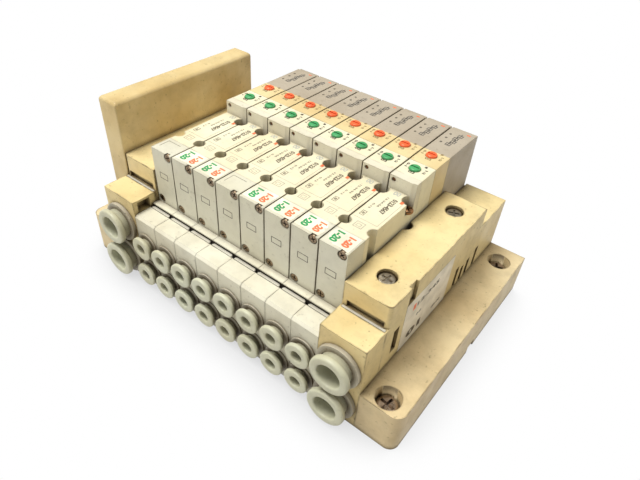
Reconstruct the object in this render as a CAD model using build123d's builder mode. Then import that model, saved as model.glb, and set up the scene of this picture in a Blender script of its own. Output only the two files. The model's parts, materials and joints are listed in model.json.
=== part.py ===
"""Pneumatic valve island: eight valves side by side on a bar of base segments.

Frame: millimetres, +Z up, +X along the stack, ports facing -Y.  The origin is on the
standing surface, at the middle of the object's plan.
"""
from build123d import *
import math
import os

os.makedirs("parts", exist_ok=True)

# ---------------------------------------------------------------- stack, along X
stations = 8
pitch = 10.5                # from one valve to the next
segment_gap = 0.1           # seam between neighbouring base segments
valve_gap = 0.5             # open seam between neighbouring valves
block_width = 16.2          # supply and exhaust block at each end
flange_width = 14.3
housing_thickness = 9.5     # upright wiring housing at the left end

# ---------------------------------------------------------------- depths, along Y
front_land = 11.2           # from the port face back to the valves' front caps
cap_depth = 8.3
valve_body_length = 27.7
adapter_thickness = 3.2
override_a_length = 9.2
override_b_length = 9.8
coil_length = 20.4
end_lip_length = 1.8
rear_land = 1.4             # from the coil covers' end lip to the back of the base
large_reach = 5.9           # large release ring, in front of the port face
small_reach = 3.6           # small release ring, in front of the port face

# ---------------------------------------------------------------- heights, along Z
segment_top = 31.0
valve_seat = 32.1           # underside of the valves
rear_seat = 37.1            # underside of the raised end
valve_top = 54.5
raised_top = 59.4
block_front_top = 36.1
block_top = 45.0
block_rear_top = 37.6
flange_top = 16.8
housing_top = 64.9

# ---------------------------------------------------------------- small ports, two on each segment
small_port_low = 7.2
small_port_rise = 12.7
small_tube_r = 2.05
small_sleeve_r = 2.9        # half the width across the flats
small_ring_r = 4.65
small_ring_thickness = 1.5
small_sleeve_length = 5.0
small_collar_r = 4.95
small_collar_thickness = 0.6
small_barrel_r = 3.4
small_barrel_length = 10.0

# ---------------------------------------------------------------- large ports, two on each end block
large_port_low = 8.65
large_port_rise = 15.7
large_tube_r = 4.15
large_sleeve_r = 5.3
large_ring_r = 6.9
large_ring_thickness = 2.1
large_neck_r = 6.3          # step behind the large release ring
large_neck_length = 0.9
large_sleeve_length = 7.0
large_collar_r = 7.7
large_collar_thickness = 1.4
large_barrel_r = 6.1
large_barrel_length = 13.0

# ---------------------------------------------------------------- fits
sleeve_clearance = 0.08     # release ring in its fitting
barrel_clearance = 0.05     # fitting in its block
button_clearance = 0.08
screw_clearance = 0.1
clip_clearance = 0.1
key_sides = 8               # sleeves and barrels are keyed, so that nothing turns
large_round_sides = 24      # repeated rounds are drawn with this many flats
small_round_sides = 16
shank_sides = 12

# ---------------------------------------------------------------- retaining clips
clip_thickness = 0.8
small_clip_setback = 7.4    # port face to the clip's middle
small_clip_leg = 0.6
large_clip_setback = 9.9
large_clip_leg = 0.7
clip_foot = 2.0             # lower end of the clips, above the standing surface
clip_bridge = 2.0           # solid stretch at the top of the fork
clip_proud = 0.2            # how far the clips stand out of their slots
clip_wall = 0.15            # block material between a barrel's bore and the clip's leg

# ---------------------------------------------------------------- override buttons
button_r = 1.95
button_proud = 0.8
button_sunk = 1.4
button_travel = 1.0
button_slot_length = 3.0
button_slot_width = 0.7
button_slot_depth = 0.5
button_a_setback = 4.8      # from the front of its housing
button_b_setback = 6.8
button_side = -0.55         # from the valve's middle

# ---------------------------------------------------------------- access holes for the valve screws
front_access_r = 2.1
front_access_setback = 12.6
front_access_depth = 12.0
rear_access_r = 2.6
rear_access_setback = 33.8
rear_access_side = 4.55     # from the valve's middle
rear_access_depth = 4.4

# ---------------------------------------------------------------- screws
block_screw_r = 2.9
block_screw_height = 1.8
block_screw_sunk = 1.2      # block top to the top of the head
block_screw_front = 9.4     # from the valves' front caps
block_screw_rear = 51.9
block_recess_r = 3.15
mount_screw_r = 3.7
mount_screw_height = 2.6
mount_screw_shank_r = 2.0
mount_screw_sunk = 5.0      # flange top to the top of the head
mount_screw_inset = 4.8     # front screw, from the flange's front
mount_screw_spacing = 79.4
mount_recess_r = 4.15

# ---------------------------------------------------------------- levels worked out from these
stack_half = stations * pitch / 2
block_inner_x = stack_half + segment_gap / 2
block_outer_x = block_inner_x + block_width
flange_outer_x = block_outer_x + flange_width
block_mid_x = (block_inner_x + block_outer_x) / 2
flange_mid_x = (block_outer_x + flange_outer_x) / 2
station_x = [pitch * (n + 0.5) - stack_half for n in range(stations)]
segment_width = pitch - segment_gap
valve_width = pitch - valve_gap

valve_low_length = cap_depth + valve_body_length
raised_length = adapter_thickness + override_a_length + override_b_length + coil_length + end_lip_length
base_depth = front_land + valve_low_length + raised_length + rear_land
back_y = (base_depth + large_reach) / 2
face_y = back_y - base_depth
front_y = face_y + front_land
cap_back_y = front_y + cap_depth
step_y = cap_back_y + valve_body_length
adapter_back_y = step_y + adapter_thickness
housing_a_back_y = adapter_back_y + override_a_length
housing_b_back_y = housing_a_back_y + override_b_length
coil_back_y = housing_b_back_y + coil_length
lip_back_y = coil_back_y + end_lip_length

small_port_z = [small_port_low, small_port_low + small_port_rise]
large_port_z = [large_port_low, large_port_low + large_port_rise]
small_ring_y = face_y - small_reach
large_ring_y = face_y - large_reach
small_clip_y = face_y + small_clip_setback
large_clip_y = face_y + large_clip_setback
button_a_y = adapter_back_y + button_a_setback
button_b_y = housing_a_back_y + button_b_setback
front_access_y = front_y + front_access_setback
rear_access_y = front_y + rear_access_setback


def corner(flat_r):
    """Radius over the corners of a keyed section, from half the width across its flats."""
    return flat_r / math.cos(math.pi / key_sides)


def upright_round(x, y, radius, sides, top, depth, mode=Mode.SUBTRACT):
    """An upright many-sided round that goes down from a deck."""
    with BuildSketch(Plane.XY.offset(top)) as outline:
        with Locations((x, y)):
            RegularPolygon(radius, sides)
    extrude(outline.sketch, amount=-depth, mode=mode)


def span_box(x0, x1, y0, y1, z0, z1, mode=Mode.ADD):
    """A box between two corners, for the builder block that it is called in."""
    with Locations(((x0 + x1) / 2, (y0 + y1) / 2, (z0 + z1) / 2)):
        Box(abs(x1 - x0), abs(y1 - y0), abs(z1 - z0), mode=mode)


def front_plane(y):
    """Sketch plane at this depth, seen from the front: its x is X, its y is Z."""
    return Plane((0, y, 0), x_dir=(1, 0, 0), z_dir=(0, -1, 0))


def keyed_disc(plane, centre, flat_r, depth, mode=Mode.ADD):
    """An eight-sided prism that runs back from the plane."""
    with BuildSketch(plane) as outline:
        with Locations(centre):
            RegularPolygon(flat_r, key_sides, major_radius=False, rotation=180 / key_sides)
    extrude(outline.sketch, amount=-depth, mode=mode)


def round_disc(plane, centre, radius, sides, depth):
    """A many-sided round disc that runs back from the plane."""
    with BuildSketch(plane) as outline:
        with Locations(centre):
            RegularPolygon(radius, sides)
    extrude(outline.sketch, amount=-depth)


def clip_fork(x, y, top, barrel_r, leg, room, mode=Mode.ADD):
    """The clip's fork over two barrels; room is the clearance all round when it cuts the clip's slot."""
    inner = corner(barrel_r + barrel_clearance) + clip_wall + clip_clearance - room
    outer = inner + leg + 2 * room
    half = clip_thickness / 2 + room
    foot = clip_foot - room
    for side in (-1, 1):
        span_box(x + side * inner, x + side * outer, y - half, y + half, foot, top, mode)
    span_box(x - inner, x + inner, y - half, y + half, top - clip_bridge - room, top, mode)


def save(part, name):
    """Names a finished piece and writes its file."""
    part.label = name
    export_step(part, "parts/" + name + ".step")


# ================================================================ base segments
# Each carries one valve and holds two small fittings; its top steps up under the raised end.
seat_drop = 0.1             # the valve stands this far above the segment
strip_depth = 2.9           # strip in front of the valves, level with their underside
groove_depth = 1.6          # groove between the segment's top and the strip
groove_width = 1.3
segment_edge = 0.9
segment_back_inset = 0.6

small_clip_half = corner(small_barrel_r + barrel_clearance) + clip_wall + clip_clearance + small_clip_leg
large_clip_half = corner(large_barrel_r + barrel_clearance) + clip_wall + clip_clearance + large_clip_leg

with BuildPart() as base_segments:
    strip_front_y = front_y - strip_depth
    for x in station_x:
        with BuildSketch(Plane.YZ.offset(x - segment_width / 2)) as segment_side:
            with BuildLine():
                Polyline(
                    (face_y, 0), (face_y, segment_top),
                    (strip_front_y - groove_width, segment_top),
                    (strip_front_y - groove_width, segment_top - groove_depth),
                    (strip_front_y, segment_top - groove_depth),
                    (strip_front_y, valve_seat), (front_y - 0.1, valve_seat),
                    (front_y - 0.1, valve_seat - seat_drop), (step_y, valve_seat - seat_drop),
                    (step_y, rear_seat - seat_drop), (back_y - segment_back_inset, rear_seat - seat_drop),
                    (back_y - segment_back_inset, 0), close=True)
            make_face()
            top_front = segment_side.vertices().group_by(Axis.X)[0].sort_by(Axis.Y)[-1]
            chamfer(top_front, length=segment_edge)
        extrude(amount=segment_width)
    for x in station_x:
        for z in small_port_z:
            keyed_disc(front_plane(face_y), (x, z), small_barrel_r + barrel_clearance,
                       small_barrel_length + barrel_clearance, Mode.SUBTRACT)
        clip_fork(x, small_clip_y, segment_top, small_barrel_r, small_clip_leg, clip_clearance,
                  Mode.SUBTRACT)
save(base_segments.part, "base_segments")

# ================================================================ small fittings, with their keyed barrels
with BuildPart() as small_fittings:
    for x in station_x:
        for z in small_port_z:
            round_disc(front_plane(face_y - small_collar_thickness), (x, z), small_collar_r,
                       small_round_sides, small_collar_thickness)
            keyed_disc(front_plane(face_y), (x, z), small_barrel_r, small_barrel_length)
            keyed_disc(front_plane(face_y - small_collar_thickness), (x, z),
                       small_sleeve_r + sleeve_clearance,
                       small_collar_thickness + small_barrel_length - 1.0, Mode.SUBTRACT)
save(small_fittings.part, "small_fittings")

# ================================================================ large fittings
with BuildPart() as large_fittings:
    for x in (-block_mid_x, block_mid_x):
        for z in large_port_z:
            round_disc(front_plane(face_y - large_collar_thickness), (x, z), large_collar_r,
                       large_round_sides, large_collar_thickness)
            keyed_disc(front_plane(face_y), (x, z), large_barrel_r, large_barrel_length)
            keyed_disc(front_plane(face_y - large_collar_thickness), (x, z),
                       large_sleeve_r + sleeve_clearance,
                       large_collar_thickness + large_barrel_length - 1.0, Mode.SUBTRACT)
save(large_fittings.part, "large_fittings")

# ================================================================ retaining clips, one to each pair of fittings
with BuildPart() as retaining_clips:
    for x in station_x:
        clip_fork(x, small_clip_y, segment_top, small_barrel_r, small_clip_leg, 0)
        span_box(x - small_clip_half, x + small_clip_half, small_clip_y - clip_thickness / 2,
                 small_clip_y + clip_thickness / 2, segment_top, segment_top + clip_proud)
    for x in (-block_mid_x, block_mid_x):
        clip_fork(x, large_clip_y, block_front_top, large_barrel_r, large_clip_leg, 0)
        span_box(x - large_clip_half, x + large_clip_half, large_clip_y - clip_thickness / 2,
                 large_clip_y + clip_thickness / 2, block_front_top, block_front_top + clip_proud)
save(retaining_clips.part, "retaining_clips")


# ================================================================ release rings, each on its own
def release_ring(name, x, z, front, ring, neck, sleeve, tube_r, sides):
    """A flange, a neck and a keyed sleeve, each (radius, length); the tube goes through the bore."""
    with BuildPart() as piece:
        neck_y = front + ring[1]
        sleeve_y = neck_y + neck[1]
        round_disc(front_plane(front), (x, z), ring[0], sides, ring[1])
        if neck[1] > 0:
            round_disc(front_plane(neck_y), (x, z), neck[0], sides, neck[1])
        keyed_disc(front_plane(sleeve_y), (x, z), sleeve[0], sleeve[1])
        with BuildSketch(front_plane(front)):
            with Locations((x, z)):
                Circle(tube_r)
        extrude(amount=-(ring[1] + neck[1] + sleeve[1]), mode=Mode.SUBTRACT)
    save(piece.part, name)


for n, x in enumerate(station_x, start=1):
    for level, z in zip(("lower", "upper"), small_port_z):
        release_ring(f"small_release_ring_{n}_{level}", x, z, small_ring_y,
                     (small_ring_r, small_ring_thickness), (small_ring_r, 0),
                     (small_sleeve_r, small_sleeve_length), small_tube_r, small_round_sides)

for side, x in (("left", -block_mid_x), ("right", block_mid_x)):
    for level, z in zip(("lower", "upper"), large_port_z):
        release_ring(f"large_release_ring_{side}_{level}", x, z, large_ring_y,
                     (large_ring_r, large_ring_thickness), (large_neck_r, large_neck_length),
                     (large_sleeve_r, large_sleeve_length), large_tube_r, large_round_sides)


# ================================================================ valves: front caps, bodies, adapters
def access_holes(deck, rear_depth, xs):
    """Cuts the wells for the valve screws down from a deck, beside each of these valves."""
    for x in xs:
        upright_round(x + rear_access_side, rear_access_y, rear_access_r, small_round_sides, deck, rear_depth)


with BuildPart() as front_caps:
    for x in station_x:
        span_box(x - valve_width / 2, x + valve_width / 2, front_y, cap_back_y, valve_seat, valve_top)
save(front_caps.part, "front_caps")

for n, x in enumerate(station_x, start=1):
    with BuildPart() as valve_body:
        span_box(x - valve_width / 2, x + valve_width / 2, cap_back_y, step_y, valve_seat, valve_top)
        for seam_x in (x - pitch / 2, x + pitch / 2):
            upright_round(seam_x, front_access_y, front_access_r, small_round_sides, valve_top, front_access_depth)
        access_holes(valve_top, rear_access_depth, [x, x - pitch][:1 if n == 1 else 2])
    save(valve_body.part, f"valve_body_{n}")

with BuildPart() as pilot_adapters:
    for x in station_x:
        span_box(x - valve_width / 2, x + valve_width / 2, step_y, adapter_back_y, rear_seat, raised_top)
    access_holes(raised_top, raised_top - valve_top + rear_access_depth, station_x)
save(pilot_adapters.part, "pilot_adapters")


# ================================================================ override housings and their buttons
def override_housings(name, y0, y1, button_y):
    """One housing on each valve, with a well for its button."""
    with BuildPart() as housings:
        for x in station_x:
            span_box(x - valve_width / 2, x + valve_width / 2, y0, y1, rear_seat, raised_top)
            upright_round(x + button_side, button_y, button_r + button_clearance, small_round_sides,
                          raised_top, button_sunk + button_travel + button_clearance)
    save(housings.part, name)


def override_button(name, x, y):
    """A push button with a driver slot across its top."""
    with BuildPart() as button:
        top = raised_top + button_proud
        upright_round(x, y, button_r, small_round_sides, top, button_proud + button_sunk, Mode.ADD)
        span_box(x - button_slot_length / 2, x + button_slot_length / 2, y - button_slot_width / 2,
                 y + button_slot_width / 2, top - button_slot_depth, top, Mode.SUBTRACT)
    save(button.part, name)


override_housings("override_housings_a", adapter_back_y, housing_a_back_y, button_a_y)
override_housings("override_housings_b", housing_a_back_y, housing_b_back_y, button_b_y)
for n, x in enumerate(station_x, start=1):
    override_button(f"override_button_{n}_a", x + button_side, button_a_y)
    override_button(f"override_button_{n}_b", x + button_side, button_b_y)

# ================================================================ coil covers, each with a lip at its end
lip_drop = 0.5

with BuildPart() as coil_covers:
    for x in station_x:
        half = valve_width / 2
        span_box(x - half, x + half, housing_b_back_y, coil_back_y, rear_seat, raised_top)
        span_box(x - half, x + half, coil_back_y, lip_back_y, rear_seat, raised_top - lip_drop)
save(coil_covers.part, "coil_covers")

# ================================================================ end blocks, supply and exhaust
cover_setback = 10.6        # from the port face to the front of the raised cover
cover_length = 61.3
block_edge_r = 1.5
cover_slot_width = 13.0
cover_slot_height = 2.4
cover_slot_depth = 1.2
side_slot_width = 1.3
side_slot_depth = 1.2
side_slots = [(46.8, 17.3, 9.3), (51.5, 17.3, 7.0), (56.0, 17.3, 7.5), (62.4, 17.2, 9.0)]
window_back = 4.0           # side window, from the valves' front caps
window_width = 3.0
window_low = 21.5
window_height = 10.0
notch_back = 10.0           # notch in the cover's outer top edge
notch_width = 4.0
notch_height = 7.5
notch_depth = 1.0
pocket_front = 2.0          # pocket above the end segment, from the port face
pocket_width = 5.2
pocket_height = 4.2
pocket_depth = 3.0
block_screw_y = [front_y + block_screw_front, front_y + block_screw_rear]


def end_block(name, side):
    """Stepped block with two large bores; side is +1 at the right end and -1 at the left."""
    cover_y = face_y + cover_setback
    cover_back_y = cover_y + cover_length
    left = min(side * block_inner_x, side * block_outer_x)
    mid = side * block_mid_x
    with BuildPart() as block:
        with BuildSketch(Plane.YZ.offset(left)):
            with BuildLine():
                Polyline((face_y, 0), (face_y, block_front_top), (cover_y, block_front_top),
                         (cover_y, block_top), (cover_back_y, block_top),
                         (cover_back_y, block_rear_top), (back_y, block_rear_top), (back_y, 0),
                         close=True)
            make_face()
        extrude(amount=block_width)
        cover_corner = (block.edges().filter_by(Axis.Z).filter_by_position(Axis.Y, cover_y - 0.01, cover_y + 0.01)
                        .sort_by(Axis.X)[-1 if side > 0 else 0])
        fillet(cover_corner, radius=block_edge_r)
        for z in large_port_z:
            keyed_disc(front_plane(face_y), (mid, z), large_barrel_r + barrel_clearance,
                       large_barrel_length + barrel_clearance, Mode.SUBTRACT)
        clip_fork(mid, large_clip_y, block_front_top, large_barrel_r, large_clip_leg, clip_clearance,
                  Mode.SUBTRACT)
        span_box(mid - cover_slot_width / 2, mid + cover_slot_width / 2, cover_y,
                 cover_y + cover_slot_depth, block_front_top, block_front_top + cover_slot_height,
                 Mode.SUBTRACT)
        span_box(side * block_inner_x, side * (block_inner_x + pocket_depth), face_y + pocket_front,
                 face_y + pocket_front + pocket_width, segment_top, segment_top + pocket_height,
                 Mode.SUBTRACT)
        for y in block_screw_y:
            upright_round(mid, y, block_recess_r, small_round_sides, block_top,
                          block_screw_sunk + block_screw_height)
        if side > 0:
            access_holes(block_top, 8.0, station_x[-1:])
            side_cuts(block_outer_x)
    save(block.part, name)


def side_cuts(x):
    """Window, slots and top notch in the outer face of the right block."""
    span_box(x - side_slot_depth, x, front_y + window_back, front_y + window_back + window_width,
             window_low, window_low + window_height, Mode.SUBTRACT)
    for back, low, height in side_slots:
        span_box(x - side_slot_depth, x, front_y + back, front_y + back + side_slot_width,
                 low, low + height, Mode.SUBTRACT)
    span_box(x - notch_depth, x, front_y + notch_back, front_y + notch_back + notch_width,
             block_top - notch_height, block_top, Mode.SUBTRACT)


end_block("end_block_left", -1)
end_block("end_block_right", 1)

with BuildPart() as block_screws:
    for x in (-block_mid_x, block_mid_x):
        for y in block_screw_y:
            upright_round(x, y, block_screw_r, small_round_sides, block_top - block_screw_sunk,
                          block_screw_height, Mode.ADD)
save(block_screws.part, "block_screws")

# ================================================================ mounting flanges, with their screws
flange_corner_r = 3.5
foot_notch_back = 38.7      # from the valves' front caps
foot_notch_width = 5.0
foot_notch_height = 3.0
foot_notch_depth = 1.5
mount_y = [face_y + mount_screw_inset, face_y + mount_screw_inset + mount_screw_spacing]


def mounting_flange(name, side):
    """Foot plate outside the end block, with two counterbored screw holes."""
    inner = side * block_outer_x
    outer = side * flange_outer_x
    with BuildPart() as flange:
        span_box(min(inner, outer), max(inner, outer), face_y, back_y, 0, flange_top)
        outer_front = flange.edges().filter_by(Axis.Z).group_by(Axis.Y)[0].sort_by(Axis.X)
        fillet(outer_front[-1 if side > 0 else 0], radius=flange_corner_r)
        for y in mount_y:
            upright_round(side * flange_mid_x, y, mount_recess_r, small_round_sides, flange_top,
                          mount_screw_sunk + mount_screw_height)
            upright_round(side * flange_mid_x, y, mount_screw_shank_r + screw_clearance, shank_sides,
                          flange_top, flange_top)
        notch_y = front_y + foot_notch_back
        span_box(outer - foot_notch_depth, outer + foot_notch_depth, notch_y,
                 notch_y + foot_notch_width, 0, foot_notch_height, Mode.SUBTRACT)
    save(flange.part, name)


mounting_flange("mounting_flange_left", -1)
mounting_flange("mounting_flange_right", 1)

with BuildPart() as mounting_screws:
    spots = [(x, y) for x in (-flange_mid_x, flange_mid_x) for y in mount_y]
    head_top = flange_top - mount_screw_sunk
    for x, y in spots:
        upright_round(x, y, mount_screw_r, small_round_sides, head_top, mount_screw_height, Mode.ADD)
        upright_round(x, y, mount_screw_shank_r, shank_sides, head_top - mount_screw_height,
                      head_top - mount_screw_height, Mode.ADD)
save(mounting_screws.part, "mounting_screws")

# ================================================================ wiring housing, upright at the left end
housing_setback = 10.45     # from the port face
housing_length = 67.55
housing_edge_r = 1.6

with BuildPart() as wiring_housing:
    span_box(-block_outer_x - housing_thickness, -block_outer_x, face_y + housing_setback,
             face_y + housing_setback + housing_length, flange_top, housing_top)
    fillet(wiring_housing.edges().group_by(Axis.Z)[-1], radius=housing_edge_r)
save(wiring_housing.part, "wiring_housing")
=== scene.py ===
"""The looks of the pneumatic valve island: finishes, rounded edges, screws, print and stickers."""
import bpy
import json
import math
from mathutils import Matrix, Vector


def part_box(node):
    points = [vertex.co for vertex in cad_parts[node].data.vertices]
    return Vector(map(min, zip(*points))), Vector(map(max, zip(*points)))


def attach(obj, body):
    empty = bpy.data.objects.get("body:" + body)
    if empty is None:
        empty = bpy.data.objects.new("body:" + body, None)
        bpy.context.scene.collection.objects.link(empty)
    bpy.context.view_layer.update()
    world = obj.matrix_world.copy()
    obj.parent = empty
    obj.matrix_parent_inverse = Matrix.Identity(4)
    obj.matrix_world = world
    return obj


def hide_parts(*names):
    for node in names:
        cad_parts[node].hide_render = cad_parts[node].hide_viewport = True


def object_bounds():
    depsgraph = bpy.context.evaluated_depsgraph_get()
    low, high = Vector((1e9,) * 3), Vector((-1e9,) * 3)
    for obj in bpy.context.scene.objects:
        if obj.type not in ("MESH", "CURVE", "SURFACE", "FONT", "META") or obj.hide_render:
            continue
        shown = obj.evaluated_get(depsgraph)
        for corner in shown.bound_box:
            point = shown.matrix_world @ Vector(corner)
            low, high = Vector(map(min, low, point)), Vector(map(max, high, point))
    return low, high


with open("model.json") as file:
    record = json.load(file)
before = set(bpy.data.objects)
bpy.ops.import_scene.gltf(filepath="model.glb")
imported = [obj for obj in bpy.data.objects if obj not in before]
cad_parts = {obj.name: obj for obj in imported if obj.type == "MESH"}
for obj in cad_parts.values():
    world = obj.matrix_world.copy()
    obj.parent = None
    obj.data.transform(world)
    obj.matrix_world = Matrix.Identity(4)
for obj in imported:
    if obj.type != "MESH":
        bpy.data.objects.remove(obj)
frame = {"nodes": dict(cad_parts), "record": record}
cad_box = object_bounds()
mm = 0.001
body_of_node = {node: body for body, members in frame["record"]["behaviour"]["bodies"].items()
                for node in members}

# ---------------------------------------------------------------- places read from the frame
caps_low, caps_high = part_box("front_caps")
valve_low, valve_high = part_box("valve_body_1")
block_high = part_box("end_block_right")[1]
flange_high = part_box("mounting_flange_right")[1]
segments_height = 31.0 * mm

stations = 8
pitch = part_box("valve_body_2")[0].x - valve_low.x
station_x = [(valve_low.x + valve_high.x) / 2 + n * pitch for n in range(stations)]
seams = [x - pitch / 2 for x in station_x]      # the left side of each valve
segments_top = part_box("base_segments")[0].z + segments_height
front_y = caps_low.y
valve_top = caps_high.z
raised_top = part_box("pilot_adapters")[1].z


# ---------------------------------------------------------------- shader groups
def new_group(name, inputs, outputs):
    """An empty shader group with float and colour sockets, and its two end nodes."""
    group = bpy.data.node_groups.new(name, "ShaderNodeTree")
    for label, kind, value in inputs:
        socket = group.interface.new_socket(label, in_out="INPUT", socket_type=kind)
        socket.default_value = value
    for label, kind in outputs:
        group.interface.new_socket(label, in_out="OUTPUT", socket_type=kind)
    return group, group.nodes.new("NodeGroupInput"), group.nodes.new("NodeGroupOutput")


def noise(tree, coords, scale, detail=4.0, roughness=0.55):
    """Clouds of this many cells to a metre."""
    node = tree.nodes.new("ShaderNodeTexNoise")
    node.inputs["Scale"].default_value = scale
    node.inputs["Detail"].default_value = detail
    node.inputs["Roughness"].default_value = roughness
    tree.links.new(coords, node.inputs["Vector"])
    return node.outputs["Fac"]


def remap(tree, value, low, high, to_low=0.0, to_high=1.0):
    """Stretches the part of a value between low and high over a new span, and clamps the rest."""
    node = tree.nodes.new("ShaderNodeMapRange")
    for socket, number in (("From Min", low), ("From Max", high), ("To Min", to_low), ("To Max", to_high)):
        node.inputs[socket].default_value = number
    tree.links.new(value, node.inputs["Value"])
    return node.outputs["Result"]


def math_node(tree, operation, a, b):
    """One sum; a and b are numbers or sockets."""
    node = tree.nodes.new("ShaderNodeMath")
    node.operation = operation
    for socket, value in zip(node.inputs, (a, b)):
        if isinstance(value, (int, float)):
            socket.default_value = value
        else:
            tree.links.new(value, socket)
    return node.outputs["Value"]


def mix_colours(tree, factor, a, b):
    """Blends from a to b; each is a colour or a socket."""
    node = tree.nodes.new("ShaderNodeMix")
    node.data_type = "RGBA"
    tree.links.new(factor, node.inputs[0])
    for socket, value in ((node.inputs[6], a), (node.inputs[7], b)):
        if isinstance(value, tuple):
            socket.default_value = value
        else:
            tree.links.new(value, socket)
    return node.outputs[2]


COLOUR, NUMBER = "NodeSocketColor", "NodeSocketFloat"

# Patterns, in cells to a metre
cloud_scale, smear_scale, speck_scale = 38, 95, 750
scuff_scale, rub_scale, sheen_scale = 260, 170, 160
grain_scale, swell_scale = 2600, 90
tarnish_scale, polish_scale, scratch_scale = 900, 700, 3000

# How far the painted shade reaches from a corner, and the scuffs and dirt from an edge
plastic_corner_shade_reach = 3.5 * mm
plastic_edge_reach = 0.55 * mm
metal_corner_shade_reach = 1.2 * mm
shade_samples = 6


def make_aged_plastic():
    """Moulded plastic that has yellowed in clouds, with painted shade darkening its corners, gaps and recesses,
    smears and specks of grime, and scuffs and dirt on its edges.
    """
    group, inside, outside = new_group(
        "aged_plastic",
        [("Clean Colour", COLOUR, (0.8, 0.8, 0.8, 1)), ("Aged Colour", COLOUR, (0.7, 0.6, 0.4, 1)),
         ("Shade And Grime Colour", COLOUR, (0.2, 0.15, 0.1, 1)), ("Ageing", NUMBER, 0.5), ("Shade And Grime", NUMBER, 0.5),
         ("Edge Dirt", NUMBER, 0.3), ("Grain", NUMBER, 0.3), ("Gloss", NUMBER, 0.5)],
        [("Colour", COLOUR), ("Roughness", NUMBER), ("Height", NUMBER)])
    coords = group.nodes.new("ShaderNodeTexCoord").outputs["Object"]
    link = group.links.new

    clouds = remap(group, noise(group, coords, cloud_scale, 3), 0.35, 0.68)
    clouds = math_node(group, "MULTIPLY", clouds, inside.outputs["Ageing"])
    colour = mix_colours(group, clouds, inside.outputs["Clean Colour"], inside.outputs["Aged Colour"])

    # Painted shade: darker towards corners, gaps between parts and recesses, where little of the sky reaches;
    # smears and specks of grime are added to it
    hollow = group.nodes.new("ShaderNodeAmbientOcclusion")
    hollow.samples = shade_samples
    hollow.inputs["Distance"].default_value = plastic_corner_shade_reach
    painted_corner_shade = remap(group, hollow.outputs["AO"], 0.82, 0.3)
    smears = remap(group, noise(group, coords, smear_scale, 6, 0.7), 0.45, 0.78)
    specks = remap(group, noise(group, coords, speck_scale, 3), 0.64, 0.72)
    shade_and_grime = math_node(group, "MULTIPLY", painted_corner_shade, 1.1)
    shade_and_grime = math_node(group, "ADD", shade_and_grime, math_node(group, "MULTIPLY", smears, 0.30))
    shade_and_grime = math_node(group, "ADD", shade_and_grime, math_node(group, "MULTIPLY", specks, 0.35))
    shade_and_grime = math_node(group, "MULTIPLY", shade_and_grime, inside.outputs["Shade And Grime"])
    colour = mix_colours(group, shade_and_grime, colour, inside.outputs["Shade And Grime Colour"])

    rim = group.nodes.new("ShaderNodeAmbientOcclusion")
    rim.inside = True
    rim.samples = shade_samples
    rim.inputs["Distance"].default_value = plastic_edge_reach
    edges = remap(group, rim.outputs["AO"], 0.92, 0.6)
    scuffs = remap(group, noise(group, coords, scuff_scale, 5), 0.50, 0.62)
    scuffs = math_node(group, "MULTIPLY", math_node(group, "MULTIPLY", edges, scuffs), 0.15)
    colour = mix_colours(group, scuffs, colour, inside.outputs["Clean Colour"])
    rubbed = remap(group, noise(group, coords, rub_scale, 5), 0.62, 0.36)
    rubbed = math_node(group, "MULTIPLY", edges, rubbed)
    rubbed = math_node(group, "MULTIPLY", rubbed, inside.outputs["Edge Dirt"])
    colour = mix_colours(group, rubbed, colour, inside.outputs["Shade And Grime Colour"])
    link(colour, outside.inputs["Colour"])

    sheen = remap(group, noise(group, coords, sheen_scale, 4), 0.3, 0.7, -0.08, 0.08)
    rough = math_node(group, "ADD", inside.outputs["Gloss"], sheen)
    rough = math_node(group, "ADD", rough, math_node(group, "MULTIPLY", shade_and_grime, 0.3))
    link(rough, outside.inputs["Roughness"])
    fine = math_node(group, "MULTIPLY", noise(group, coords, grain_scale, 3), inside.outputs["Grain"])
    broad = math_node(group, "MULTIPLY", noise(group, coords, swell_scale, 2), 0.3)
    link(math_node(group, "ADD", fine, broad), outside.inputs["Height"])
    return group


def make_worn_metal():
    """Plated metal with fine scratches and dull tarnish patches, and painted shade darkening its hollows."""
    group, inside, outside = new_group(
        "worn_metal",
        [("Metal Colour", COLOUR, (0.7, 0.7, 0.7, 1)), ("Shade And Grime Colour", COLOUR, (0.05, 0.04, 0.03, 1)),
         ("Shade And Grime", NUMBER, 0.6)],
        [("Colour", COLOUR), ("Roughness", NUMBER), ("Height", NUMBER)])
    coords = group.nodes.new("ShaderNodeTexCoord").outputs["Object"]
    # Painted shade: darker in the hollows, where little of the sky reaches; dull tarnish patches are added to
    # it
    hollow = group.nodes.new("ShaderNodeAmbientOcclusion")
    hollow.samples = shade_samples
    hollow.inputs["Distance"].default_value = metal_corner_shade_reach
    painted_corner_shade = remap(group, hollow.outputs["AO"], 0.9, 0.35)
    dark = math_node(group, "MULTIPLY", painted_corner_shade, inside.outputs["Shade And Grime"])
    patches = remap(group, noise(group, coords, tarnish_scale, 5), 0.35, 0.7, 0.0, 0.45)
    dark = math_node(group, "ADD", dark, math_node(group, "MULTIPLY", patches, inside.outputs["Shade And Grime"]))
    colour = mix_colours(group, dark, inside.outputs["Metal Colour"], inside.outputs["Shade And Grime Colour"])
    group.links.new(colour, outside.inputs["Colour"])
    polish = remap(group, noise(group, coords, polish_scale, 4), 0.3, 0.7, 0.22, 0.5)
    group.links.new(polish, outside.inputs["Roughness"])
    group.links.new(noise(group, coords, scratch_scale, 2), outside.inputs["Height"])
    return group


aged_plastic = make_aged_plastic()
worn_metal = make_worn_metal()


bump_height = 0.1 * mm


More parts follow.
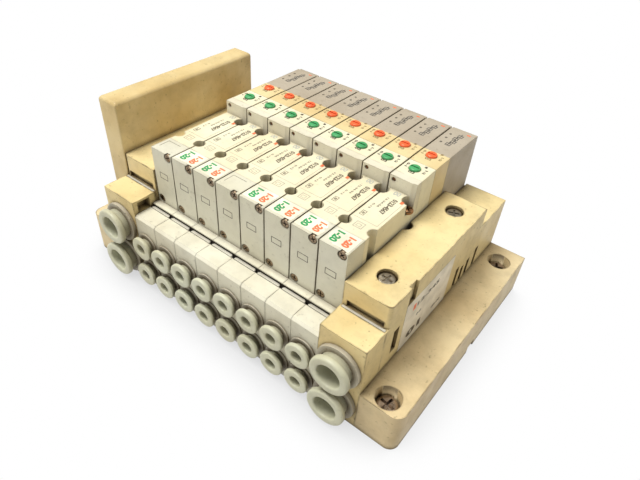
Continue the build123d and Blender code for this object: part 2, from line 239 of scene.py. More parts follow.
def material_with(name, group, values, bump, metallic=0.0):
    """A material whose colour, roughness and bump come from one of the shared groups."""
    material = bpy.data.materials.new(name)
    material.use_nodes = True
    tree = material.node_tree
    shader = tree.nodes["Principled BSDF"]
    shader.inputs["Metallic"].default_value = metallic
    effect = tree.nodes.new("ShaderNodeGroup")
    effect.node_tree = group
    for label, value in values.items():
        effect.inputs[label].default_value = value
    relief = tree.nodes.new("ShaderNodeBump")
    relief.inputs["Strength"].default_value = bump
    relief.inputs["Distance"].default_value = bump_height
    tree.links.new(effect.outputs["Colour"], shader.inputs["Base Color"])
    tree.links.new(effect.outputs["Roughness"], shader.inputs["Roughness"])
    tree.links.new(effect.outputs["Height"], relief.inputs["Height"])
    tree.links.new(relief.outputs["Normal"], shader.inputs["Normal"])
    return material


def tone(red, green, blue):
    """A colour written as it shows on screen, turned into the renderer's linear numbers."""
    return tuple(((c / 255 + 0.055) / 1.055) ** 2.4 if c > 10 else c / 255 / 12.92
                 for c in (red, green, blue)) + (1.0,)


def plastic(name, clean, aged, ageing, shade_and_grime, grain=0.3, gloss=0.5, bump=0.25, shade_and_dirt=(84, 66, 38),
            edge=0.25):
    """A moulded finish: its clean and aged colours, the colour of its painted shade and dirt, and how much of
    each effect it has.
    """
    return material_with(name, aged_plastic, {
        "Clean Colour": tone(*clean), "Aged Colour": tone(*aged), "Shade And Grime Colour": tone(*shade_and_dirt),
        "Ageing": ageing, "Shade And Grime": shade_and_grime, "Edge Dirt": edge, "Grain": grain, "Gloss": gloss}, bump)


def screw_metal(name, colour, shade_and_grime):
    """A worn metal finish for screws, with painted shade in its hollows."""
    return material_with(name, worn_metal, {"Metal Colour": tone(*colour), "Shade And Grime": shade_and_grime},
                         bump=0.2, metallic=1.0)


cream = plastic("yellowed_cream", (232, 214, 162), (214, 190, 132), 0.8, 1.0, gloss=0.48, edge=0.9)
dirty_cream = plastic("yellowed_cream_flange", (222, 205, 164), (204, 180, 134), 0.8, 1.0,
                      gloss=0.5, edge=0.9)
plate_cream = plastic("yellowed_plate", (220, 200, 150), (190, 160, 98), 0.8, 0.9, gloss=0.5, edge=0.5)
cap_white = plastic("cool_white_caps", (212, 210, 192), (204, 198, 170), 0.5, 0.55, gloss=0.42, edge=0.35)
valve_white = plastic("cream_white_valves", (230, 225, 198), (222, 208, 166), 0.6, 0.6, gloss=0.45, edge=0.35)
adapter_white = plastic("adapter_white", (220, 216, 196), (210, 200, 172), 0.6, 0.55, gloss=0.45, edge=0.35)
housing_cream = plastic("yellowed_housings", (224, 206, 156), (200, 172, 116), 0.8, 0.6,
                        gloss=0.45, edge=0.35)
segment_white = plastic("off_white_segments", (224, 222, 204), (210, 202, 176), 0.6, 0.75,
                        gloss=0.42, edge=0.35)
coil_grey = plastic("warm_grey_covers", (178, 168, 150), (162, 148, 126), 0.6, 0.55,
                    grain=0.8, gloss=0.55, bump=0.4)
ring_green = plastic("grey_green_rings", (202, 204, 180), (190, 184, 152), 0.6, 0.6, gloss=0.38)
fitting_white = plastic("grey_white_fittings", (208, 204, 188), (186, 176, 150), 0.6, 0.8, gloss=0.38)
clip_plastic = plastic("clip_plastic", (204, 202, 190), (190, 182, 162), 0.5, 0.5, gloss=0.4)
rail_grey = plastic("rail_grey", (196, 194, 182), (172, 166, 148), 0.5, 0.4, gloss=0.4)
green_button = plastic("green_buttons", (74, 166, 102), (58, 138, 82), 0.5, 0.3,
                       gloss=0.35, shade_and_dirt=(30, 50, 30))
orange_button = plastic("orange_buttons", (248, 106, 58), (222, 92, 48), 0.5, 0.25,
                        gloss=0.35, shade_and_dirt=(90, 40, 20))
# Painted shade: the dark finish of the plates that stand for the shade in the base groove
groove_shade_paint = plastic("painted_groove_shade", (52, 42, 28), (34, 27, 18), 0.6, 0.4, gloss=0.8, shade_and_dirt=(12, 10, 8))
# Painted shade: the dark finish of the plates on the side slots' floors
slot_shade_paint = plastic("slot_shade", (104, 82, 46), (78, 60, 32), 0.6, 0.5, gloss=0.8, shade_and_dirt=(30, 24, 14))
brown_hole = plastic("brown_indicator", (140, 84, 44), (110, 62, 34), 0.6, 0.4, gloss=0.4)
label_white = plastic("white_label", (250, 244, 228), (238, 226, 200), 0.5, 0.2, grain=0.1, gloss=0.4)
label_cream = plastic("label_cream", (248, 242, 222), (242, 230, 198), 0.5, 0.25, grain=0.1, gloss=0.4)
green_print = plastic("green_print", (22, 158, 90), (46, 150, 92), 0.4, 0.1)
orange_print = plastic("orange_print", (252, 118, 72), (244, 132, 90), 0.4, 0.1)
grey_print = plastic("grey_print", (92, 86, 72), (118, 108, 88), 0.6, 0.15)
dark_print = plastic("dark_print", (66, 62, 54), (90, 82, 68), 0.6, 0.2)
faint_print = plastic("faint_print", (176, 172, 154), (170, 160, 134), 0.6, 0.2)
pale_print = plastic("pale_print", (186, 192, 188), (176, 180, 172), 0.6, 0.2)
brown_print = plastic("brown_print", (142, 124, 86), (132, 112, 74), 0.6, 0.2)
coil_print = plastic("coil_print", (104, 102, 98), (118, 112, 104), 0.6, 0.2)
nickel = screw_metal("nickel_screws", (206, 194, 172), 0.6)
brown_steel = screw_metal("browned_screws", (150, 112, 78), 0.8)
bright_steel = screw_metal("bright_screws", (190, 170, 150), 0.55)
dark_steel = screw_metal("dark_screws", (156, 136, 112), 0.75)


# ---------------------------------------------------------------- modelling helpers
flat_angle = 35             # faces that meet more gently than this, in degrees, shade as one
weld_reach = 0.002 * mm

# Radii of the rounded edges
clip_round = 0.1 * mm
fine_round = 0.15 * mm
small_round = 0.2 * mm
cover_round = 0.3 * mm
collar_round = 0.35 * mm
moulded_round = 0.5 * mm


def select_only(piece):
    """Selects one piece alone and makes it the active one."""
    bpy.ops.object.select_all(action="DESELECT")
    piece.select_set(True)
    bpy.context.view_layer.objects.active = piece


def join_all(pieces, name):
    """Joins finished shapes into one piece."""
    bpy.ops.object.select_all(action="DESELECT")
    for piece in pieces:
        piece.select_set(True)
    bpy.context.view_layer.objects.active = pieces[0]
    if len(pieces) > 1:
        bpy.ops.object.join()
    pieces[0].name = name
    return pieces[0]


def finish_piece(piece, material, body="base", flat_faces=False):
    """Gives a piece its finish and the body that it moves with.

    With flat_faces, flat faces keep their flat shading beside rounded edges."""
    piece.data.materials.clear()
    piece.data.materials.append(material)
    select_only(piece)
    bpy.ops.object.shade_smooth_by_angle(angle=math.radians(flat_angle))
    if flat_faces:
        weighted = piece.modifiers.new("flat_faces", "WEIGHTED_NORMAL")
        weighted.keep_sharp = True
        weighted.weight = 100
        bpy.ops.object.modifier_apply(modifier=weighted.name)
    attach(piece, body)
    return piece


def cut_out(piece, cutter):
    """Takes one shape out of another and removes it."""
    cut = piece.modifiers.new("cut", "BOOLEAN")
    cut.operation = "DIFFERENCE"
    cut.solver = "EXACT"
    cut.object = cutter
    select_only(piece)
    bpy.ops.object.modifier_apply(modifier=cut.name)
    bpy.data.objects.remove(cutter)


def round_edges(piece, width, segments=2, angle=40):
    """Rounds over the edges that are sharper than this angle, in degrees."""
    edge = piece.modifiers.new("edges", "BEVEL")
    edge.width = width
    edge.segments = segments
    edge.limit_method = "ANGLE"
    edge.angle_limit = math.radians(angle)
    select_only(piece)
    bpy.ops.object.modifier_apply(modifier=edge.name)


def round_long_edges(piece, width, segments, shortest):
    """Rounds over the sharp edges that are longer than this, and leaves wells and slots alone."""
    mesh = piece.data
    weights = mesh.attributes.new("bevel_weight_edge", "FLOAT", "EDGE")
    for edge in mesh.edges:
        a, b = (mesh.vertices[v].co for v in edge.vertices)
        weights.data[edge.index].value = 1.0 if (a - b).length > shortest else 0.0
    bevel = piece.modifiers.new("long_edges", "BEVEL")
    bevel.width = width
    bevel.segments = segments
    bevel.limit_method = "WEIGHT"
    select_only(piece)
    bpy.ops.object.modifier_apply(modifier=bevel.name)


def softened(node, width, material, segments=2, cutters=(), shortest=0):
    """A copy of a moulded node with its sharp edges rounded over, standing for the plain one."""
    piece = bpy.data.objects.new(node + "_moulded", frame["nodes"][node].data.copy())
    bpy.context.scene.collection.objects.link(piece)
    select_only(piece)
    bpy.ops.object.mode_set(mode="EDIT")
    bpy.ops.mesh.select_all(action="SELECT")
    bpy.ops.mesh.remove_doubles(threshold=weld_reach)
    bpy.ops.mesh.dissolve_limited(angle_limit=math.radians(1.0), use_dissolve_boundaries=False)
    bpy.ops.object.mode_set(mode="OBJECT")
    for cutter in cutters:
        cut_out(piece, cutter)
    if shortest:
        round_long_edges(piece, width, segments, shortest)
    else:
        round_edges(piece, width, segments)
    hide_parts(node)
    return finish_piece(piece, material, body_of_node[node], flat_faces=True)


def mesh_piece(name, vertices, faces):
    """A piece from its corners and faces, with no body yet."""
    mesh = bpy.data.meshes.new(name)
    mesh.from_pydata(vertices, [], faces)
    mesh.update()
    piece = bpy.data.objects.new(name, mesh)
    bpy.context.scene.collection.objects.link(piece)
    return piece


def blocks(name, spans):
    """One piece of upright blocks; each span is (x0, x1, y0, y1, z0, z1)."""
    painted_corner_shade = [(0, 0, 0), (1, 0, 0), (1, 1, 0), (0, 1, 0), (0, 0, 1), (1, 0, 1), (1, 1, 1), (0, 1, 1)]
    sides = [(0, 3, 2, 1), (4, 5, 6, 7), (0, 1, 5, 4), (1, 2, 6, 5), (2, 3, 7, 6), (3, 0, 4, 7)]
    vertices, faces = [], []
    for span in spans:
        pairs = span[0:2], span[2:4], span[4:6]
        low, high = [min(pair) for pair in pairs], [max(pair) for pair in pairs]
        start = len(vertices)
        vertices += [tuple(high[k] if corner[k] else low[k] for k in range(3)) for corner in painted_corner_shade]
        faces += [tuple(start + v for v in side) for side in sides]
    return mesh_piece(name, vertices, faces)


def outline_frame(x0, x1, y0, y1, z0, z1, line, across="z"):
    """Four spans that frame a rectangle; across is the thin direction, up from a deck or out of a front."""
    if across == "z":
        return [(x0, x1, y0, y0 + line, z0, z1), (x0, x1, y1 - line, y1, z0, z1),
                (x0, x0 + line, y0 + line, y1 - line, z0, z1), (x1 - line, x1, y0 + line, y1 - line, z0, z1)]
    return [(x0, x1, y0, y1, z0, z0 + line), (x0, x1, y0, y1, z1 - line, z1),
            (x0, x0 + line, y0, y1, z0 + line, z1 - line), (x1 - line, x1, y0, y1, z0 + line, z1 - line)]


def cylinders(name, places, radius, depth, axis="Z", sides=32):
    """One piece of round blocks centred at these places, along this axis."""
    turn = {"X": (0, math.pi / 2, 0), "Y": (math.pi / 2, 0, 0), "Z": (0, 0, 0)}[axis]
    made = []
    for place in places:
        bpy.ops.object.select_all(action="DESELECT")
        bpy.ops.mesh.primitive_cylinder_add(vertices=sides, radius=radius, depth=depth,
                                            location=place, rotation=turn)
        bpy.ops.object.transform_apply(location=True, rotation=True, scale=True)
        made.append(bpy.context.object)
    return join_all(made, name)


first_turn = 20             # of the first screw's cross, in degrees


def cross_cutters(places, reach, width, depth, axis, turn):
    """Two cutters that sink a driver's cross into screw heads, each turned further than the last."""
    cutters = []
    for quarter in (0, 90):
        bars = []
        for n, place in enumerate(places):
            bpy.ops.object.select_all(action="DESELECT")
            bpy.ops.mesh.primitive_cube_add(size=1)
            bar = bpy.context.object
            bar.scale = (2 * reach, width, 2 * depth)
            bpy.ops.object.transform_apply(location=True, rotation=True, scale=True)
            spin = Matrix.Rotation(math.radians(quarter + turn * n + first_turn), 4, "Z")
            face = Matrix.Rotation(math.radians(90), 4, "X") if axis == "Y" else Matrix.Identity(4)
            bar.data.transform(Matrix.Translation(place) @ face @ spin)
            bars.append(bar)
        cutters.append(join_all(bars, "cross_cutter"))
    return cutters


def cross_screws(name, tops, radius, height, material, axis="Z", turn=37, dome=0.4):
    """Cross-headed screws; tops are the middles of the heads' outer faces, facing up or to the front.

    The dome is a share of the head's height, and the cross is cut in shares of its radius."""
    out = Vector((0, 0, 1)) if axis == "Z" else Vector((0, -1, 0))
    heads = cylinders(name, [Vector(top) - out * height / 2 for top in tops], radius, height, axis)
    round_edges(heads, dome * height, 3)
    for cutter in cross_cutters(tops, radius * 0.66, radius * 0.26, radius * 0.4, axis, turn):
        cut_out(heads, cutter)
    return finish_piece(heads, material)


film = 0.03 * mm            # thickness of all print
text_extrude = 0.01         # half the thickness of raw text


def figures(text, length, height, middle, reading, upward, weight=0.02):
    """Plain figures of this length and height, lying flat about their middle.

    Weight thickens their strokes."""
    bpy.ops.object.select_all(action="DESELECT")
    bpy.ops.object.text_add()
    words = bpy.context.object
    words.data.body = text
    words.data.resolution_u = 3
    words.data.extrude = text_extrude
    words.data.offset = weight
    bpy.ops.object.convert(target="MESH")
    words = bpy.context.object
    xs = [v.co.x for v in words.data.vertices]
    ys = [v.co.y for v in words.data.vertices]
    reading, upward = Vector(reading), Vector(upward)
    turned = Matrix((reading, upward, reading.cross(upward))).transposed().to_4x4()
    sized = Matrix.Diagonal((length / (max(xs) - min(xs)), height / (max(ys) - min(ys)),
                             film / (2 * text_extrude), 1))
    centred = Matrix.Translation((-(max(xs) + min(xs)) / 2, -(max(ys) + min(ys)) / 2, 0))
    words.data.transform(Matrix.Translation(middle) @ turned @ sized @ centred)
    return words


ACROSS, BACK, UP, TOWARDS = (1, 0, 0), (0, 1, 0), (0, 0, 1), (0, -1, 0)
valve_deck = valve_top - film / 2, valve_top + film
raised_deck = raised_top - film / 2, raised_top + film
raised_up = (raised_top - valve_top) / mm


def at(seam, across, back, up=0.0):
    """A place on a valve, in millimetres from its left seam, the front caps and the valve's top."""
    return Vector((seam + across * mm, front_y + back * mm, valve_top + up * mm))


def span_at(seam, across, back, up):
    """A block's span on a valve, from (low, high) pairs in millimetres."""
    return (seam + across[0] * mm, seam + across[1] * mm, front_y + back[0] * mm, front_y + back[1] * mm,
            valve_top + up[0] * mm, valve_top + up[1] * mm)


def deck_frame(seam, across, back, line):
    """Four thin lines round a rectangle on a valve's top, from (low, high) pairs in millimetres."""
    return outline_frame(seam + across[0] * mm, seam + across[1] * mm,
                         front_y + back[0] * mm, front_y + back[1] * mm, *valve_deck, line * mm)


def figures_at(seam, text, size, spot, weight=0.02, reading=TOWARDS, upward=ACROSS):
    """Plain figures on a valve; size is (length, height) and spot (across, back, up), in millimetres."""
    return figures(text, size[0] * mm, size[1] * mm, at(seam, *spot), reading, upward, weight)


# ---------------------------------------------------------------- front caps, their screws and bare frames
cap_screw_r = 1.45 * mm
cap_screw_height = 0.95 * mm
cap_screw_out = Vector((0, -0.35 * mm, 0))
cap_screw_spots = ((8.3, 0.5, -1.4), (2.1, 0.5, -20.75))
recess_gap = 0.2 * mm
recess_length = 1.5 * mm
recess_out = Vector((0, -0.25 * mm, 0))
cap_screw_places = [at(seam, *spot) for seam in seams for spot in cap_screw_spots]
recesses = cylinders("cap_recesses", [place + recess_out for place in cap_screw_places],
                     cap_screw_r + recess_gap, recess_length, "Y")
softened("front_caps", cover_round, cap_white, 3, [recesses])
cross_screws("cap_screws", [place + cap_screw_out for place in cap_screw_places], cap_screw_r,
             cap_screw_height, dark_steel, "Y", turn=53, dome=0.3)

bare_frames = [span for seam in seams for span in outline_frame(
    seam + 3.0 * mm, seam + 7.1 * mm, front_y - film, front_y + film,
    valve_top - 11.3 * mm, valve_top - 8.9 * mm, 0.2 * mm, "y")]
finish_piece(blocks("cap_frames", bare_frames), dark_print)

# ---------------------------------------------------------------- valves, their print and their screws
for n in range(1, stations + 1):
    softened(f"valve_body_{n}", fine_round, valve_white)

valve_print = (("0123-4567", (9.2, 1.9), (6.4, 26.6), 0.045), ("12-34-56", (6.4, 0.75), (3.9, 27.4)),
               ("0-12", (3.4, 0.65), (2.2, 23.6)), ("8", (1.2, 0.8), (2.3, 18.85)))
fine_lines, soft_lines, orange_marks, grey_words, pale_words = [], [], [], [], []
for seam in seams:
    square = deck_frame(seam, (3.3, 6.4), (11.6, 14.5), 0.18)
    inner_square = deck_frame(seam, (4.0, 5.6), (12.3, 13.6), 0.12)
    border = deck_frame(seam, (0.9, 9.3), (15.9, 31.8), 0.1)
    soft_lines += square + inner_square + border[:1] + border[3:]
    fine_lines += deck_frame(seam, (1.5, 3.1), (17.6, 20.1), 0.16)
    orange_marks.append(span_at(seam, (8.1, 9.1), (30.3, 31.7), (-0.02, 0.04)))
    grey_words += [figures_at(seam, *line) for line in valve_print]
    pale_words.append(figures_at(seam, "00", (2.4, 2.2), (4.9, 34.3), reading=ACROSS, upward=BACK))
finish_piece(blocks("valve_outlines", soft_lines), faint_print)
finish_piece(blocks("valve_tags", fine_lines), grey_print)
finish_piece(blocks("valve_orange_marks", orange_marks), orange_print)
finish_piece(join_all(grey_words, "valve_figures"), grey_print)
finish_piece(join_all(pale_words, "valve_pale_figures"), pale_print)

rear_screw_spot = (9.8, 33.8, -2.9)
rear_screw_r = 1.85 * mm
rear_screw_height = 1.55 * mm
front_screw_spot = (0, 12.6, -9.0)      # astride the seam, at the bottom of a deep well
front_screw_r = 1.75 * mm
front_screw_length = 6.0 * mm
cross_screws("valve_rear_screws", [at(seam, *rear_screw_spot) for seam in seams], rear_screw_r,
             rear_screw_height, brown_steel, turn=29)
finish_piece(cylinders("valve_front_screws", [at(seam, *front_screw_spot) for seam in seams[1:]],
                       front_screw_r, front_screw_length), dark_steel)

# ---------------------------------------------------------------- stickers on the front caps
sticker_top = 0.06
sticker_print_up = 0.07


def sticker(name, outline, seam):
    """A thin label on a cap's top; the outline is in millimetres from the valve's seam and front."""
    low = [at(seam, x, y, -0.01) for x, y in outline]
    high = [at(seam, x, y, sticker_top) for x, y in outline]
    count = len(outline)
    walls = [(k, (k + 1) % count, count + (k + 1) % count, count + k) for k in range(count)]
    return mesh_piece(name, low + high,
                      [tuple(reversed(range(count))), tuple(range(count, 2 * count))] + walls)


whole = [(0.35, 1.0), (9.75, 1.0), (9.75, 7.9), (0.35, 7.9)]
torn = [(0.35, 1.0), (9.4, 1.0), (9.75, 3.6), (8.9, 4.7), (9.5, 5.6), (8.0, 7.9), (0.35, 7.9)]
peeled = [(1.7, 2.2), (4.2, 0.9), (6.6, 1.1), (9.75, 0.6), (9.75, 7.9), (1.6, 7.9)]
peeled += [(1.6 - 1.0 * math.sin(math.pi * k / 8), 7.9 - 5.7 * k / 8) for k in range(1, 8)]
worn_outlines = {7: torn, 8: peeled}
bare_stations = (1, 4)
stickers, green_words, orange_words, bare_lines = [], [], [], []
for number, seam in enumerate(seams, start=1):
    if number in bare_stations:
        bare_lines += deck_frame(seam, (1.6, 7.4), (2.3, 6.8), 0.15)[1:3]
        continue
    stickers.append(sticker(f"sticker_{number}", worn_outlines.get(number, whole), seam))
    green_words.append(figures_at(seam, "1-20", (5.4, 2.6), (3.1, 4.4, sticker_print_up), 0.055))
    orange_words.append(figures_at(seam, "1-20", (4.9, 2.5), (7.3, 4.3, sticker_print_up), 0.055))
finish_piece(join_all(stickers, "cap_stickers"), label_cream)
finish_piece(join_all(green_words, "green_figures"), green_print)
finish_piece(join_all(orange_words, "orange_figures"), orange_print)
finish_piece(blocks("bare_sticker_marks", bare_lines), grey_print)

# ---------------------------------------------------------------- raised ends: adapters, housings, coil covers
indicator_sides = 20
indicator_hole_r = 0.8 * mm
indicator_r = 0.79 * mm
indicator_holes = cylinders("indicator_holes", [at(seam, 1.85, 36.2, 3.4) for seam in seams],
                            indicator_hole_r, 1.6 * mm, "Y", indicator_sides)
softened("pilot_adapters", small_round, adapter_white, 2, [indicator_holes])
finish_piece(cylinders("indicators", [at(seam, 1.85, 36.9, 3.4) for seam in seams],
                       indicator_r, 0.4 * mm, "Y", indicator_sides), brown_hole)
softened("override_housings_a", fine_round, valve_white)
softened("override_housings_b", fine_round, housing_cream)
softened("coil_covers", cover_round, coil_grey, 3)

# Print round each override button: text, size, places across and back from the button, and its two directions
button_print = (("0-1", (2.7, 0.9), 1.5, 0, TOWARDS, ACROSS), ("02", (2.4, 1.2), 4.9, -3.2, ACROSS, BACK),
                ("1-2", (2.7, 0.9), 8.3, -0.4, TOWARDS, ACROSS), ("1", (1.0, 0.9), 7.2, 2.5, TOWARDS, ACROSS))
front_button_back, rear_button_back = 44.7, 55.7
coil_figure_backs = (66.2, 70.2, 73.6)
coil_symbol_spots = ((65.2, 4.2), (67.8, 4.9), (70.4, 4.5), (73.0, 5.1))
front_words, rear_words, coil_words, coil_lines, coil_red = [], [], [], [], []
for seam in seams:
    for button_back, words in ((front_button_back, front_words), (rear_button_back, rear_words)):
        for text, size, across, back, reading, upward in button_print:
            spot = (across, button_back + back, raised_up + 0.01)
            words.append(figures_at(seam, text, size, spot, 0.04, reading, upward))
    for back in coil_figure_backs:
        coil_words.append(figures_at(seam, "0", (1.0, 0.9), (2.4, back, raised_up), 0.06))
    for back, across in coil_symbol_spots:
        x0, y0 = seam + across * mm, front_y + back * mm
        coil_lines += outline_frame(x0, x0 + 2.0 * mm, y0, y0 + 2.1 * mm, *raised_deck, 0.36 * mm)
        coil_lines.append((x0 + 0.8 * mm, x0 + 1.2 * mm, y0, y0 + 2.9 * mm, *raised_deck))
    coil_red.append(span_at(seam, (7.3, 8.7), (76.7, 77.3), (raised_up - 0.01, raised_up + 0.04)))
finish_piece(join_all(front_words, "override_marks_a"), dark_print)
finish_piece(join_all(rear_words, "override_marks_b"), brown_print)
finish_piece(join_all(coil_words, "coil_figures"), dark_print)
finish_piece(blocks("coil_symbols", coil_lines), coil_print)
finish_piece(blocks("coil_red_marks", coil_red), orange_print)

button_sides = 40
button_round = 0.5 * mm
button_slot_depth = 0.5 * mm
button_slot_reach = 1.5 * mm        # half its length
button_slot_half = 0.3 * mm         # half its width


def domed_button(node, material):
    """A round button with a domed top and a driver slot, standing for the flat-sided one."""
    low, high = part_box(node)
    middle = (low + high) / 2
    radius, height = (high.x - low.x) / 2, high.z - low.z
    button = cylinders(node + "_domed", [middle], radius, height, "Z", button_sides)
    round_edges(button, button_round, 4)
    cut_out(button, blocks("slot", [(middle.x - button_slot_reach, middle.x + button_slot_reach,
                                     middle.y - button_slot_half, middle.y + button_slot_half,
                                     high.z - button_slot_depth, high.z + 1 * mm)]))
    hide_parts(node)
    finish_piece(button, material, body_of_node[node])


for n in range(1, stations + 1):
    domed_button(f"override_button_{n}_a", green_button)
    domed_button(f"override_button_{n}_b", orange_button)

# ---------------------------------------------------------------- base segments, groove and clips
softened("base_segments", small_round, segment_white)
groove_low, groove_high = front_y - 4.2 * mm, front_y - 2.9 * mm
groove_floor = segments_top - 1.6 * mm
groove_span = seams[0] + 0.05 * mm, seams[-1] + pitch - 0.05 * mm
shade_floor, shade_wall = 0.1 * mm, 0.06 * mm
# Painted shade: thin dark plates lining the groove's floor and both walls, where the narrow groove lies in
# shade
finish_piece(blocks("groove_shade", [
    (*groove_span, groove_low, groove_high, groove_floor, groove_floor + shade_floor),
    (*groove_span, groove_low, groove_low + shade_wall, groove_floor, segments_top - 0.1 * mm),
    (*groove_span, groove_high - shade_wall, groove_high, groove_floor, segments_top + 0.7 * mm)]), groove_shade_paint)

rail_inset = 1.0 * mm
back_rail_y = groove_high - 0.50 * mm, groove_high - 0.22 * mm
back_rail_top = segments_top + 0.25 * mm
front_rail_y = groove_low + 0.28 * mm, groove_low + 0.44 * mm
front_rail_top = segments_top - 0.55 * mm
rails = []
for seam in seams:
    low, high = seam + rail_inset, seam + pitch - rail_inset
    rails.append((low, high, *back_rail_y, groove_floor, back_rail_top))
    rails.append((low + 2.4 * mm, high - 1.2 * mm, *front_rail_y, groove_floor, front_rail_top))
rail_piece = blocks("groove_rails", rails)
round_edges(rail_piece, clip_round)
finish_piece(rail_piece, rail_grey)
softened("retaining_clips", clip_round, clip_plastic)
softened("small_fittings", small_round, fitting_white, 3)
softened("large_fittings", collar_round, fitting_white, 3)

ring_shapes = {
    "small_release_ring": {"flange_r": 4.65 * mm, "flange_length": 1.5 * mm, "neck_r": 3.0 * mm,
                           "bore_r": 2.05 * mm, "round_r": 0.55 * mm},
    "large_release_ring": {"flange_r": 6.9 * mm, "flange_length": 2.1 * mm, "neck_r": 5.6 * mm,
                           "bore_r": 4.15 * mm, "round_r": 0.75 * mm}}
ring_steps = 48


def turned_ring(node, flange_r, flange_length, neck_r, bore_r, round_r):
    """A round release ring with a fat flange, standing for the flat-sided one."""
    low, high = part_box(node)
    middle = (low + high) / 2
    total = high.y - low.y
    profile = [(bore_r, 0), (flange_r, 0), (flange_r, flange_length), (neck_r, flange_length),
               (neck_r, total), (bore_r, total)]
    vertices = [(middle.x + r * math.cos(2 * math.pi * k / ring_steps), low.y + along,
                 middle.z + r * math.sin(2 * math.pi * k / ring_steps))
                for r, along in profile for k in range(ring_steps)]
    faces = []
    for here in range(len(profile)):
        after = (here + 1) % len(profile)
        for k in range(ring_steps):
            turn = (k + 1) % ring_steps
            faces.append((here * ring_steps + k, after * ring_steps + k,
                          after * ring_steps + turn, here * ring_steps + turn))
    ring = mesh_piece(node + "_turned", vertices, faces)
    round_edges(ring, round_r, 4)
    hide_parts(node)
    finish_piece(ring, ring_green, body_of_node[node])


for node in frame["nodes"]:
    for kind, shape in ring_shapes.items():
        if node.startswith(kind):
            turned_ring(node, **shape)

# ---------------------------------------------------------------- end blocks, flanges and the wiring housing
block_screw_r = 2.9 * mm
block_head_r, block_head_height, block_head_up = 2.8 * mm, 0.9 * mm, 0.35 * mm
block_well_r, block_well_depth = 3.2 * mm, 3.0 * mm
mount_screw_r = 3.7 * mm
mount_head_r, mount_head_height, mount_head_up = 3.65 * mm, 2.3 * mm, 1.9 * mm
mount_well_r, mount_well_depth = 4.2 * mm, 7.6 * mm
shortest_rounded = 5.5 * mm         # shorter edges of the flanges stay sharp
# Slots in the right block's outer face: back from the front caps, width, height above the foot, length
side_slots = [(4.0, 3.0, 21.5, 10.0), (46.4, 2.2, 17.3, 9.3), (51.1, 2.2, 17.3, 7.0),
              (55.6, 2.2, 17.3, 7.5), (62.0, 2.2, 17.3, 8.9)]


def corner_spots(node, radius):
    """The middles of the tops of four screws at the corners of their node's box."""
    low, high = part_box(node)
    return [Vector((x, y, high.z)) for x in (low.x + radius, high.x - radius)
            for y in (low.y + radius, high.y - radius)]


def round_wells(spots, side, radius, top, depth):
    """A cutter that makes the screw wells of one side truly round."""
    return cylinders("wells", [Vector((x, y, top - depth / 2 + 1 * mm)) for x, y, z in spots if x * side > 0],
                     radius, depth + 2 * mm, sides=48)


def slot_spans(inner, outer):
    """The side slots' spans, between two depths in millimetres."""
    return [(block_high.x + inner * mm, block_high.x + outer * mm, front_y + back * mm,
             front_y + (back + width) * mm, low * mm, (low + height) * mm)
            for back, width, low, height in side_slots]


block_spots = corner_spots("block_screws", block_screw_r)
mount_spots = corner_spots("mounting_screws", mount_screw_r)
for side, place in ((-1, "left"), (1, "right")):
    cutters = [round_wells(block_spots, side, block_well_r, block_high.z, block_well_depth)]
    if side > 0:
        cutters.append(blocks("slot_cutter", slot_spans(-1.2, 1.0)))
    softened("end_block_" + place, moulded_round, cream, 3, cutters)
    wells = round_wells(mount_spots, side, mount_well_r, flange_high.z, mount_well_depth)
    softened("mounting_flange_" + place, moulded_round, dirty_cream, 3, [wells], shortest=shortest_rounded)
softened("wiring_housing", moulded_round, plate_cream, 3)

softened("block_screws", cover_round, nickel, 2)
cross_screws("block_screw_heads", [spot + Vector((0, 0, block_head_up)) for spot in block_spots],
             block_head_r, block_head_height, nickel, turn=31, dome=0.75)
softened("mounting_screws", cover_round, nickel, 2)
cross_screws("mounting_screw_heads", [spot + Vector((0, 0, mount_head_up)) for spot in mount_spots],
             mount_head_r, mount_head_height, bright_steel, turn=31, dome=0.6)

# Painted shade: dark plates on the floors of the slots, where the slots lie in shade; and the white label on
# the same face with its plain figures
finish_piece(blocks("slot_shades", slot_spans(-1.22, -1.05)), slot_shade_paint)
side_x = block_high.x
label_face = side_x + 0.1 * mm
label = blocks("side_label", [(side_x - 0.02 * mm, label_face, front_y + 9.6 * mm, front_y + 40.5 * mm,
                               valve_top - 38 * mm, valve_top - 17 * mm)])
finish_piece(label, label_white)
# Text, length, height, places back from the front caps and down from the valves' tops, stroke weight
label_print = (("12-345", 14.0, 1.7, 24.0, 21.4, 0.03), ("0-0", 3.0, 1.2, 19.5, 27.0, 0.02),
               ("01", 9.0, 3.2, 18.0, 33.5, 0.05), ("00-00", 6.0, 1.2, 33.0, 33.6, 0.02))
label_words = [figures(text, length * mm, height * mm,
                       Vector((label_face, front_y + back * mm, valve_top - down * mm)), BACK, UP, weight)
               for text, length, height, back, down, weight in label_print]
finish_piece(join_all(label_words, "label_figures"), dark_print)
finish_piece(blocks("label_orange_mark", [(side_x, side_x + 0.13 * mm, front_y + 14.4 * mm, front_y + 16.0 * mm,
                                           valve_top - 22.4 * mm, valve_top - 20.0 * mm)]), orange_print)

# ---------------------------------------------------------------- floor, light and camera
floor_colour = (0.50, 0.47, 0.42, 1)
contact_shadow_reach = 0.022
contact_shadow_depth = 0.62
sky_strength = 0.29
near_white, warm_white = (1.0, 0.985, 0.95), (1.0, 0.93, 0.80)


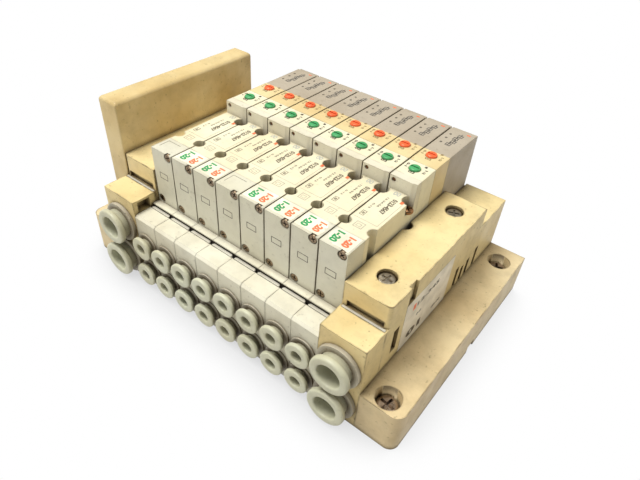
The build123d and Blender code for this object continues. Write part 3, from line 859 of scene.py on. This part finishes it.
def stage_floor():
    """A floor that lights the object softly and shows as white, with a painted shadow where the object stands.
    """
    bpy.ops.object.select_all(action="DESELECT")
    bpy.ops.mesh.primitive_plane_add(size=6, location=(0, 0, cad_box[0].z - 0.02 * mm))
    floor = bpy.context.object
    floor.name = "floor"
    material = bpy.data.materials.new("white_floor")
    material.use_nodes = True
    tree = material.node_tree
    shader = tree.nodes["Principled BSDF"]
    shader.inputs["Base Color"].default_value = floor_colour
    shader.inputs["Roughness"].default_value = 0.7
    white = tree.nodes.new("ShaderNodeEmission")
    # Painted shadow: the floor's glow dims close to the object
    shadow = tree.nodes.new("ShaderNodeAmbientOcclusion")
    shadow.samples = 12
    shadow.inputs["Distance"].default_value = contact_shadow_reach
    fade = remap(tree, shadow.outputs["AO"], 0.1, 0.8, contact_shadow_depth, 1.0)
    tree.links.new(fade, white.inputs["Strength"])
    paths = tree.nodes.new("ShaderNodeLightPath")
    seen = math_node(tree, "MAXIMUM", paths.outputs["Is Camera Ray"],
                     math_node(tree, "MAXIMUM", paths.outputs["Is Glossy Ray"],
                               paths.outputs["Is Transmission Ray"]))
    mix = tree.nodes.new("ShaderNodeMixShader")
    tree.links.new(seen, mix.inputs["Fac"])
    tree.links.new(shader.outputs["BSDF"], mix.inputs[1])
    tree.links.new(white.outputs["Emission"], mix.inputs[2])
    tree.links.new(mix.outputs["Shader"], tree.nodes["Material Output"].inputs["Surface"])
    floor.data.materials.append(material)


def area_light(name, place, target, size, watts, colour):
    """A round soft lamp that faces a point."""
    lamp = bpy.data.lights.new(name, "AREA")
    lamp.shape = "DISK"
    lamp.size = size
    lamp.energy = watts
    lamp.color = colour
    holder = bpy.data.objects.new(name, lamp)
    bpy.context.scene.collection.objects.link(holder)
    holder.location = place
    holder.rotation_euler = (Vector(target) - Vector(place)).to_track_quat("-Z", "Y").to_euler()


def world_light():
    """A plain sky, white to the camera and soft on the object."""
    world = bpy.data.worlds.new("studio")
    bpy.context.scene.world = world
    world.use_nodes = True
    tree = world.node_tree
    sky = tree.nodes["Background"]
    sky.inputs["Color"].default_value = (1, 1, 1, 1)
    paths = tree.nodes.new("ShaderNodeLightPath")
    seen = math_node(tree, "MAXIMUM", paths.outputs["Is Camera Ray"], paths.outputs["Is Transmission Ray"])
    strength = remap(tree, seen, 0, 1, sky_strength, 1.0)
    tree.links.new(strength, sky.inputs["Strength"])


def studio_camera():
    """Looks down on the ports and the right end, from the front right."""
    azimuth, elevation, roll = math.radians(35.11), math.radians(40.07), math.radians(4.55)
    ahead = Vector((-math.sin(azimuth) * math.cos(elevation), math.cos(azimuth) * math.cos(elevation),
                    -math.sin(elevation)))
    level = Vector((math.cos(azimuth), math.sin(azimuth), 0))
    upright = level.cross(ahead)
    right = level * math.cos(roll) + upright * math.sin(roll)
    up = upright * math.cos(roll) - level * math.sin(roll)
    lens = bpy.data.cameras.new("camera")
    lens.lens = 30.04
    lens.sensor_width = 36
    lens.clip_start = 0.01
    camera = bpy.data.objects.new("camera", lens)
    bpy.context.scene.collection.objects.link(camera)
    place = Vector((98.28 * mm, front_y - 94.38 * mm, 151.41 * mm))
    camera.matrix_world = Matrix.Translation(place) @ Matrix((right, up, -ahead)).transposed().to_4x4()
    bpy.context.scene.camera = camera


stage_floor()
world_light()
area_light("key", (-0.20, -0.16, 0.82), (0, 0, 0.03), size=0.4, watts=7.9, colour=near_white)
area_light("back", (0.45, 0.45, 0.45), (0, 0.02, 0.04), size=0.5, watts=1.5, colour=warm_white)
area_light("front", (-0.1, -0.75, 0.25), (0, 0, 0.03), size=0.5, watts=1.2, colour=near_white)
studio_camera()
bpy.context.scene.view_settings.view_transform = "Standard"
